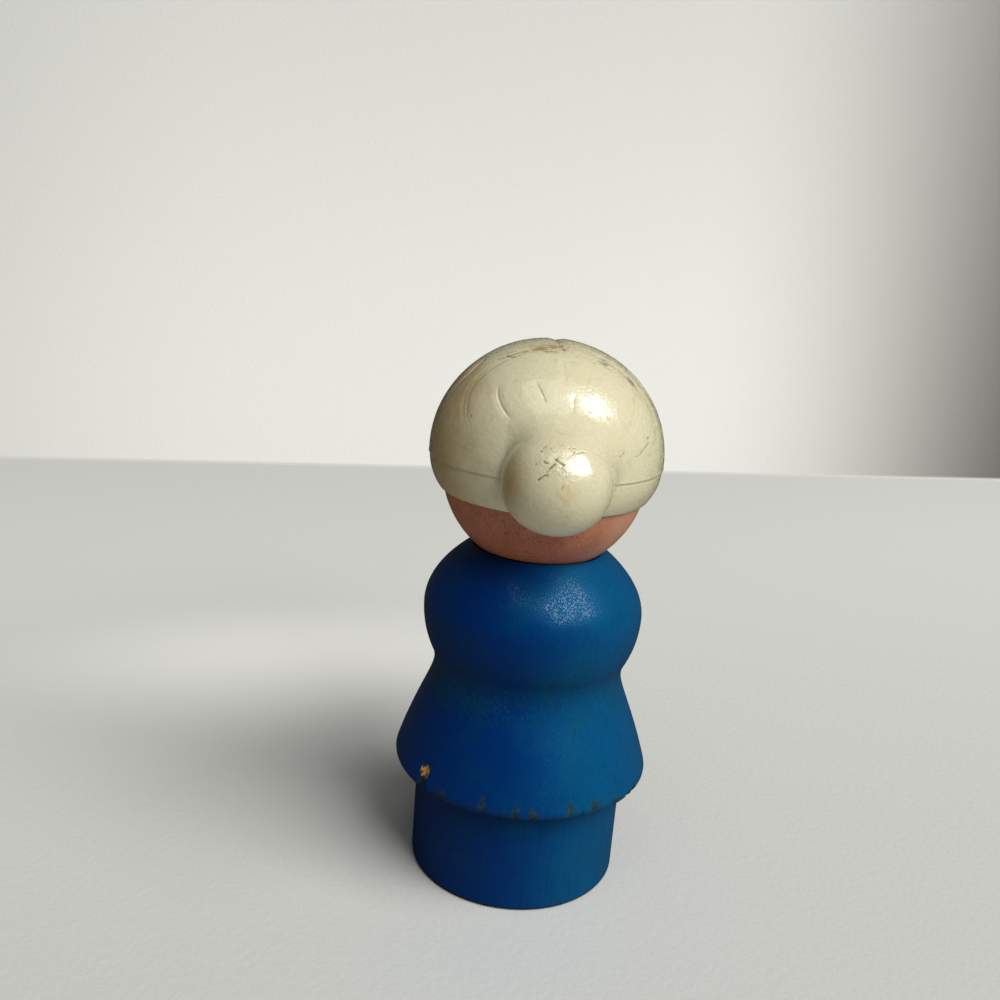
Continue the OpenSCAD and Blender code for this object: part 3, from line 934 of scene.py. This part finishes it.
def blue_paint():
    """Blue paint soaked into turned wood: faint grain, grime at the waist, a worn hem, and painted light:
    lighter on the lit side, darker on the shaded side.
    """
    tone = settings().finish
    hem_r, hem_z, waist_z = hem_and_waist()
    made = Finish(
        "blue_paint_on_wood",
        tone.shaded_side_blue,
        0.36,
        Specular_IOR_Level=0.3,
        Specular_Tint=(0.1, 0.65, 1.0, 1.0),
        Coat_Roughness=0.19,
    )
    streaks = made.noise((0.35, 0.35, 7.0), 4.0, 0.6)
    pores = made.noise((0.12, 0.12, 1.4), 2.0, 0.5, 3.7)
    cloud = made.noise((5.0, 5.0, 4.0), 3.0, 0.5, 8.1)
    # Painted light: the lighter blue on the lit side (-x), the darker ground blue on the shaded side (+x)
    made.over(made.ramp(made.x * -0.12 + cloud, 0.0, 1.4), tone.blue)
    made.over(made.ramp(streaks, 0.48, 0.75) * 0.35, tone.navy)
    made.over(made.ramp(cloud, 0.45, 0.7) * 0.25, tone.teal)
    made.over(made.ramp(pores, 0.6, 0.72) * 0.3, tone.navy)

    # Grime and dust, most of it at the waist
    waist = made.zone(waist_z - 4.05, waist_z - 1.05, waist_z + 0.05, waist_z + 2.95)
    speckle = made.noise((0.16, 0.16, 0.5), 3.0, 0.6, 5.3)
    grimy = waist * made.ramp(speckle + 0.3 * cloud, 0.58, 0.78)
    made.over(grimy * 0.7, tone.teal)
    dust = made.ramp(made.noise((0.12, 0.12, 0.22), 2.0, 0.5, 9.9), 0.64, 0.74)
    made.over(dust * (0.12 + 0.3 * waist), tone.dust)

    # The hem, worn to the wood along its edge and at its nicks, and the foot
    ragged = made.noise((0.45, 0.45, 1.6), 4.0, 0.6, 2.2)
    edge = made.zone(hem_z - 0.5, hem_z, hem_z + 0.4, hem_z + 1.5)
    worn = edge * made.ramp(ragged, 0.54, 0.66) * 0.8
    for round_deg, rise, half_w, half_h, _ in HEM_NICKS:
        place = on_body(round_deg, hem_z + rise + 0.3, hem_r - 0.45)
        nick = made.near(place, (2.6 * half_w, 2.6 * half_w, 2.0 * half_h))
        worn = made.math("MAXIMUM", worn, made.ramp(nick + 1.8 * (ragged - 0.5), 0.36, 0.75))
    made.over(worn * 0.75, made.blend(made.ramp(pores, 0.5, 0.62), tone.old_wood, tone.wood_fleck))
    foot = 1.0 - made.ramp(made.z, 0.1, 0.7)
    made.over(foot * made.ramp(ragged, 0.42, 0.6), tone.old_wood)

    # The two chips
    fibres = made.noise((0.26, 0.26, 3.2), 2.0, 0.5, 1.0)
    for chip, bare, deep in (
        (OLD_CHIP, tone.old_wood, tone.navy),
        (BARE_CHIP, tone.bare_wood, tone.old_wood),
    ):
        round_deg, rise, half_w, half_h, _ = chip
        place = on_body(round_deg, hem_z + rise, hem_r - CHIP_IN)
        middle = made.near(place, (1.5 * half_w, 1.5 * half_w, 1.35 * half_h))
        torn = made.ramp(middle + 1.2 * (fibres - 0.5), 0.3, 0.38)
        made.over(torn, made.blend(made.ramp(fibres, 0.53, 0.6), bare, deep))

    fine = made.noise(0.17, 2.0, 0.6, 4.4)
    glossy = made.ramp(fine, 0.5, 0.6) * (1.0 - worn)
    return made.finished(
        streaks * 0.4 + fine + pores * -0.4,
        0.026,
        Roughness=0.44 - 0.12 * glossy + 0.2 * worn + 0.12 * grimy,
        Coat_Weight=0.42 * glossy,
    )


def skin_paint():
    """Thin flesh-coloured paint on a turned ball, painted paler on its lit side, with soft cheeks."""
    tone = settings().finish
    made = Finish("skin_paint_on_wood", tone.skin, 0.42, Specular_IOR_Level=0.8)
    flecks = made.noise((0.18, 0.18, 1.1), 3.0, 0.65)
    cloud = made.noise((2.6, 2.6, 3.4), 3.0, 0.5, 2.0)
    made.over(made.ramp(flecks, 0.45, 0.66) * 0.7, tone.skin_deep)
    made.over(made.ramp(cloud, 0.4, 0.7) * 0.25, tone.skin_deep)
    # Painted light: paler skin on the lit side at the back of the head
    at_the_back = made.ramp(made.y, -5.0, 3.0)
    lit_side_share = made.ramp(made.x + 4.0 * (cloud - 0.5), -1.5, -8.5) * at_the_back
    made.over(lit_side_share * 0.8, tone.lit_skin)
    for side in (-1, 1):
        cheek = (side * 5.6, -8.2, ball_height() - 1.94)
        made.over(made.near(cheek, 2.9) * 0.75, tone.blush)
    fine = made.noise(0.14, 2.0, 0.6, 4.0)
    return made.finished(fine * 0.8 + flecks * -0.5, 0.025, Roughness=0.36 + 0.2 * fine)


def hair_plastic():
    """Old glossy cream plastic: yellowed here and there, with grime in its scratches, and painted shade in
    brown on its left side and on the bun's left flank.
    """
    tone = settings().finish
    _, cap, bun = cap_and_bun()
    made = Finish("cream_plastic", tone.cream, 0.26, Specular_IOR_Level=0.85, Coat_Roughness=0.06)
    cloud = made.noise(3.4, 3.0, 0.5)
    fine = made.noise(0.35, 3.0, 0.6, 5.0)
    made.over(made.ramp(cloud, 0.42, 0.72) * 0.18, tone.yellowed)

    # Grime in the grooves, whose strength the mesh carries, and as a thin film
    grime = made.node("Attribute", output="Fac", attribute_name="grime")
    dirt = made.ramp(grime + 0.35 * (fine - 0.5), 0.12, 0.9)
    made.over(dirt * 0.8, tone.grime)
    film = made.ramp(made.noise(1.1, 4.0, 0.65, 7.0), 0.56, 0.72)
    made.over(film * 0.12, tone.grime)

    # Painted shade in brown on the cap's left side and on the bun's left flank; stains at the moulding mark
    # and at the crown
    stain = made.near(bun + (-0.35, 4.75, 0.27), 1.5)
    made.over(stain * made.ramp(fine, 0.3, 0.6) * 0.5, tone.ochre)
    # Painted shade: brown on the cap's left, shaded side
    shade_and_dirt_brown = made.ramp(made.x + 5.0 * (cloud - 0.5), 5.0, 11.6)
    made.over(shade_and_dirt_brown * 0.8, tone.shade_and_dirt_brown)
    # Painted shade: brown on the bun's left flank, which faces away from the lamp
    flank = made.near(bun + (4.6, 2.55, 0.32), (2.6, 3.6, 4.6))
    made.over(flank * 0.75, tone.shade_and_dirt_brown)
    crown = made.near(cap + (1.0, 3.3, 10.72), (3.6, 1.7, 1.7))
    made.over(crown * made.ramp(fine, 0.36, 0.6) * 0.8, tone.shade_and_dirt_brown)

    # Where the bun has been struck, chips hold dirt and break the gloss
    struck = made.near(bun + (0.3, 4.05, 2.72), 2.5)
    chips = made.ramp(made.noise((0.22, 0.3, 0.14), 3.0, 0.7, 6.0), 0.58, 0.66)
    made.over(made.ramp(struck, 0.05, 0.5) * chips * 0.75, tone.grime)
    dull = 0.8 * made.ramp(struck, 0.0, 0.4) * made.ramp(fine, 0.46, 0.56)
    speckle = made.noise(0.28, 3.0, 0.65, 9.0)
    polished = made.ramp(speckle + 0.5 * film, 0.4, 0.58) * (1.0 - dirt) * (1.0 - dull)
    above_rim = made.ramp(made.z, cap[2] - 3.58, cap[2] - 0.58)
    uneven = 0.8 * made.noise(0.9, 3.0, 0.5, 1.5)
    torn = struck * 2.6 * made.noise(0.36, 3.0, 0.65, 2.5)
    return made.finished(
        fine + uneven + torn,
        0.035,
        Roughness=0.1 + 0.16 * fine + 0.35 * dirt,
        Coat_Weight=polished * above_rim,
    )


def plain_paint(name, tone, roughness):
    """A small area of gloss paint that has dried a little unevenly."""
    made = Finish(name, tone, roughness)
    uneven = made.noise(0.5, 3.0, 0.6)
    made.over(made.ramp(uneven, 0.5, 0.75) * 0.3, tuple(min(1.0, 1.6 * c + 0.02) for c in tone))
    return made.finished(uneven, 0.01, Roughness=roughness + 0.12 * uneven)


def drawn_steel():
    """Steel with the fine rings of wire drawing and a little rust."""
    tone = settings().finish
    made = Finish("drawn_steel", tone.steel, 0.35, Metallic=1.0)
    rings = made.noise((2.0, 2.0, 0.15), 3.0, 0.6)
    rust = made.ramp(made.noise(0.8, 4.0, 0.6, 3.0), 0.58, 0.7)
    made.over(rust * 0.5, tone.rust)
    return made.finished(rings, 0.01, Roughness=0.25 + 0.3 * rings + 0.3 * rust)


# Uneven light on the floor: place, sizes, share, colour
FLOOR_PATCHES = [
    ((23.0, -53.0, 0.0), (50.0, 28.0, 30.0), 1.0, (0.84, 0.85, 0.825)),
    ((5.0, 17.4, 0.0), (18.0, 10.0, 5.0), 0.5, (0.52, 0.58, 0.6)),
]
# What the floor and the wall throw back on the doll, and what glossy rays find
FLOOR_THROWS, WALL_THROWS, MIRRORED = (0.5, 0.5, 0.485), (0.08, 0.08, 0.08), (0.05, 0.05, 0.045)


def room_surface():
    """A pale floor and backdrop that throws little light back on the doll."""
    tone = settings().finish
    made = Finish("pale_room", tone.room, 0.8, Specular_IOR_Level=0.1)
    fine = made.noise(0.8, 3.0, 0.6)
    broad = made.noise(60.0, 2.0, 0.5, 4.0)
    wall = made.ramp(made.z, 0.0, 1.0)
    made.over(wall, tone.wall)
    # Painted shade: the wall higher up and the floor near the camera are dimmer
    high_up = made.ramp(made.z, 0.0, 170.0)
    near_end = made.ramp(made.y, -130.0, 60.0)
    made.over(made.math("MAXIMUM", high_up * 0.7, near_end), tone.dim)
    made.over(fine * 0.12, tuple(0.88 * c for c in tone.room))
    made.over(broad * 0.08, tuple(0.9 * c for c in tone.room))
    for place, size, share, shade in FLOOR_PATCHES:
        made.over(made.near(place, size) * share, shade)
    # Painted shade: the wall grows dimmer towards its left
    left_side = made.ramp(made.x, 20.0, 200.0)
    made.over(wall * left_side * (0.75 + 0.6 * high_up), tone.dim)
    # Painted shade: the wall's dark end on the right
    far_side = made.ramp(made.x, -95.0, -240.0)
    made.over(wall * far_side * 0.95, tone.corner)
    thrown = made.blend(wall, FLOOR_THROWS, WALL_THROWS)
    thrown = made.blend(made.node("LightPath", output="Is Glossy Ray"), thrown, MIRRORED)
    made.surface = made.blend(made.node("LightPath", output="Is Camera Ray"), thrown, made.surface)
    return made.finished(fine, 0.05)


# Operators, one for each piece or group


class PEGDOLL_OT_body(bpy.types.Operator):
    """Turn the body, nick its hem and paint it"""

    bl_idname = "pegdoll.body"
    bl_label = "Turned body"

    def execute(self, context):
        points, faces, normals = lathe(body_outline(), BODY_SEGMENTS)
        points = dented(points, normals, Noise(5))
        add_piece("turned_body", points, faces, "doll_body", "body", blue_paint())
        return {"FINISHED"}


class PEGDOLL_OT_head(bpy.types.Operator):
    """Turn the ball head with its hole and counterbore, and paint it"""

    bl_idname = "pegdoll.head"
    bl_label = "Ball head"

    def execute(self, context):
        size = settings().head
        low = degrees(atan2(-sqrt(size.radius**2 - size.bore_r**2), size.bore_r))
        high = degrees(atan2(sqrt(size.radius**2 - size.counterbore_r**2), size.counterbore_r))
        ball = arc((0.0, ball_height()), size.radius, low, high, 160)
        floor_z = NAIL_HIGH[2] - NAIL_SEAT
        inner = [[size.counterbore_r, floor_z], [size.bore_r, floor_z], ball[0]]
        points, faces, normals = lathe(np.vstack((ball, inner)), HEAD_SEGMENTS)
        depth = 0.004 + 0.004 * Noise(3)(points, 2.0)
        depth[len(ball) * HEAD_SEGMENTS :] = 0.0
        points = points - normals * depth[:, None]
        # The outline ends where it starts, so its last ring is left out and its first one used.
        last = len(points) - HEAD_SEGMENTS
        faces = [[v - last if v >= last else v for v in face] for face in faces]
        add_piece("ball_head", points[:last], faces, "doll_head", "head", skin_paint())
        return {"FINISHED"}


class PEGDOLL_OT_nail(bpy.types.Operator):
    """Give the nail its steel"""

    bl_idname = "pegdoll.nail"
    bl_label = "Neck nail"

    def execute(self, context):
        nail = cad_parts["neck_nail"]
        nail.data.materials.clear()
        nail.data.materials.append(drawn_steel())
        return {"FINISHED"}


class PEGDOLL_OT_hair(bpy.types.Operator):
    """Mould the hair cap and its bun, comb its strands and wear it"""

    bl_idname = "pegdoll.hair"
    bl_label = "Hair cap"

    def execute(self, context):
        step = settings().hair.grain * 1.0
        field = HairField()
        points, faces = meshed(field, HAIR_LOW - 3 * step, HAIR_HIGH + 3 * step, step)
        points = settled(points, field, step)
        piece = add_piece("hair_cap", points, faces, "doll_head", "hair", hair_plastic())
        layer = piece.data.attributes.new("grime", "FLOAT", "POINT")
        layer.data.foreach_set("value", field.detail(points).grime.astype(np.float32))
        return {"FINISHED"}


# How deep the edge of a film of paint and its underside lie in the ball
PAINT_EDGE, PAINT_UNDER = 0.01, 0.05


def on_ball(x, z, lift):
    """The place on the front of the ball behind a flat point seen from the front."""
    radius = settings().head.radius
    place = np.array([x, -sqrt(radius**2 - x * x - z * z), z]) * (1.0 + lift / radius)
    return place + np.array([0.0, 0.0, ball_height()])


def drop_of_paint(shapes, name, node, finish):
    """A film of paint on the ball. Each shape is nested outlines, outermost first."""
    thick = settings().head.paint_t
    points = []
    faces = []
    for shape in shapes:
        count = len(shape[0])
        first = len(points)
        for level, ring in zip(np.linspace(0.0, 1.0, len(shape)), shape):
            lift = thick * sqrt(1.0 - (1.0 - level) ** 2) - PAINT_EDGE
            points += [on_ball(x, z, lift) for x, z in ring]
        under = len(points)
        points += [on_ball(x, z, -PAINT_UNDER) for x, z in shape[0]]
        starts = [under, *range(first, under, count)]
        for a, b in zip(starts, starts[1:]):
            faces += [[a + i, a + (i + 1) % count, b + (i + 1) % count, b + i] for i in range(count)]
        faces.append(range(under - count, under))
        faces.append(range(under + count - 1, under - 1, -1))
    return add_piece(name, points, faces, "doll_head", node, finish)


def eye_shape(side):
    """Nested ovals of one eye."""
    size = settings().head
    turns = np.linspace(0.0, 2 * pi, 48, endpoint=False)
    oval = np.column_stack((0.5 * size.eye_w * np.cos(turns), 0.5 * size.eye_h * np.sin(turns)))
    return [share * oval + (side * size.eye_gap / 2, size.eye_rise) for share in (1.0, 0.9, 0.7, 0.4)]


def smile_shape():
    """Nested outlines of the smile, with round ends."""
    size = settings().head
    start, end = -90 - degrees(size.smile_half), -90 + degrees(size.smile_half)
    left, right = (size.smile_r * np.array([cos(radians(a)), sin(radians(a))]) for a in (start, end))
    shape = []
    for share in (1.0, 0.85, 0.6, 0.3):
        half = share * size.smile_line / 2
        ring = np.vstack(
            (
                arc((0, 0), size.smile_r + half, start, end, 40)[:-1],
                arc(right, half, end, end + 180, 10)[:-1],
                arc((0, 0), size.smile_r - half, end, start, 40)[:-1],
                arc(left, half, start + 180, start + 360, 10)[:-1],
            )
        )
        shape.append(ring - (0.0, size.smile_drop))
    return shape


class PEGDOLL_OT_face(bpy.types.Operator):
    """Paint two oval eyes and a small smile on the ball"""

    bl_idname = "pegdoll.face"
    bl_label = "Painted face"

    def execute(self, context):
        tone = settings().finish
        black = plain_paint("eye_paint", tone.eye, 0.18)
        drop_of_paint([eye_shape(side) for side in (-1, 1)], "painted_eyes", "eyes", black)
        red = plain_paint("mouth_paint", tone.mouth, 0.22)
        drop_of_paint([smile_shape()], "painted_mouth", "mouth", red)
        return {"FINISHED"}


class PEGDOLL_OT_stage(bpy.types.Operator):
    """Set the floor, the backdrop, the lamps and the camera"""

    bl_idname = "pegdoll.stage"
    bl_label = "Stage"

    def execute(self, context):
        place_camera()
        build_room()
        light_room()
        context.scene.view_settings.view_transform = "Standard"
        return {"FINISHED"}


def place_camera():
    """Stands the camera where the photograph was taken from."""
    stage = settings().stage
    aside = Matrix.Rotation(-stage.camera_round, 3, "Z")
    right = aside @ Vector((-cos(stage.camera_yaw), -sin(stage.camera_yaw), 0.0))
    level = aside @ Vector((sin(stage.camera_yaw), -cos(stage.camera_yaw), 0.0))
    ahead = level * cos(stage.camera_pitch) - Vector((0, 0, sin(stage.camera_pitch)))
    up = right.cross(ahead)
    roll = stage.camera_roll
    right, up = cos(roll) * right + sin(roll) * up, cos(roll) * up - sin(roll) * right
    place = aside @ Vector((0.0, stage.camera_out * MM, stage.camera_up * MM))
    camera = bpy.data.objects.new("camera", bpy.data.cameras.new("camera"))
    camera.data.sensor_width = 36.0
    camera.data.lens = 36.0
    camera.data.clip_start = 0.001
    bpy.context.scene.collection.objects.link(camera)
    basis = Matrix((right, up, -ahead)).transposed().to_4x4()
    camera.matrix_world = Matrix.Translation(place) @ basis
    bpy.context.scene.camera = camera


def build_room():
    """One bent sheet: the floor, and a wall across the view behind the doll."""
    stage = settings().stage
    wide, near, high = 1500.0, 900.0, 1200.0
    section = [(near, 0.0), (-stage.wall_out, 0.0), (-stage.wall_out, high)]
    points = [(x, y, z) for y, z in section for x in (-wide, wide)]
    faces = [[2 * i, 2 * i + 1, 2 * i + 3, 2 * i + 2] for i in range(len(section) - 1)]
    mesh = bpy.data.meshes.new("room")
    mesh.from_pydata([tuple(MM * v for v in p) for p in points], [], faces)
    mesh.materials.append(room_surface())
    room = bpy.data.objects.new("room", mesh)
    room.rotation_euler.z = stage.wall_round
    bpy.context.scene.collection.objects.link(room)


def add_lamp(name, round_rad, up_rad, power, light_colour):
    """A large soft lamp that shines on the doll."""
    stage = settings().stage
    towards = Vector(direction(degrees(round_rad), degrees(up_rad)))
    lamp = bpy.data.lights.new(name, "AREA")
    lamp.shape = "RECTANGLE"
    lamp.size = stage.lamp_wide * MM
    lamp.size_y = stage.lamp_high * MM
    lamp.energy = power
    lamp.color = light_colour
    lamp_object = bpy.data.objects.new(name, lamp)
    lamp_object.location = Vector((0, 0, 0.04)) + stage.lamp_out * MM * towards
    lamp_object.rotation_euler = towards.to_track_quat("Z", "Y").to_euler()
    bpy.context.scene.collection.objects.link(lamp_object)


def light_room():
    """A soft key lamp on the right, a weaker one from above, and a low even world."""
    stage = settings().stage
    add_lamp("key", stage.key_round, stage.key_up, stage.key_power, (1.0, 0.985, 0.95))
    add_lamp("sky", stage.sky_round, stage.sky_up, stage.sky_power, (1.0, 0.97, 0.92))
    world = bpy.data.worlds.new("world")
    world.use_nodes = True
    world.node_tree.nodes["Background"].inputs["Color"].default_value = (0.93, 0.97, 1.0, 1.0)
    world.node_tree.nodes["Background"].inputs["Strength"].default_value = stage.fill
    bpy.context.scene.world = world


class PEGDOLL_PT_panel(bpy.types.Panel):
    """Lists the doll's pieces and its stage"""

    bl_idname = "PEGDOLL_PT_panel"
    bl_label = "Peg Doll"
    bl_space_type = "VIEW_3D"
    bl_region_type = "UI"
    bl_category = "Peg Doll"

    def draw(self, context):
        for operator in OPERATORS:
            self.layout.operator(operator.bl_idname)
        for group in ("body", "head", "hair", "finish", "stage"):
            values = getattr(settings(), group)
            for name in values.__annotations__:
                self.layout.prop(values, name)


GROUPS = (BodySizes, HeadSizes, HairSizes, Finishes, StageSettings, PegDollSettings)
OPERATORS = (
    PEGDOLL_OT_stage,
    PEGDOLL_OT_body,
    PEGDOLL_OT_nail,
    PEGDOLL_OT_head,
    PEGDOLL_OT_hair,
    PEGDOLL_OT_face,
)


def register():
    """Makes the values, operators and panel known."""
    for kind in GROUPS + OPERATORS + (PEGDOLL_PT_panel,):
        bpy.utils.register_class(kind)
    bpy.types.Scene.peg_doll = PointerProperty(type=PegDollSettings)


def unregister():
    """Takes the values, operators and panel away again."""
    del bpy.types.Scene.peg_doll
    for kind in reversed(GROUPS + OPERATORS + (PEGDOLL_PT_panel,)):
        bpy.utils.unregister_class(kind)


def main():
    """Builds everything."""
    register()
    bpy.ops.pegdoll.stage()
    bpy.ops.pegdoll.body()
    bpy.ops.pegdoll.nail()
    bpy.ops.pegdoll.head()
    bpy.ops.pegdoll.hair()
    bpy.ops.pegdoll.face()


if __name__ == "__main__":
    main()
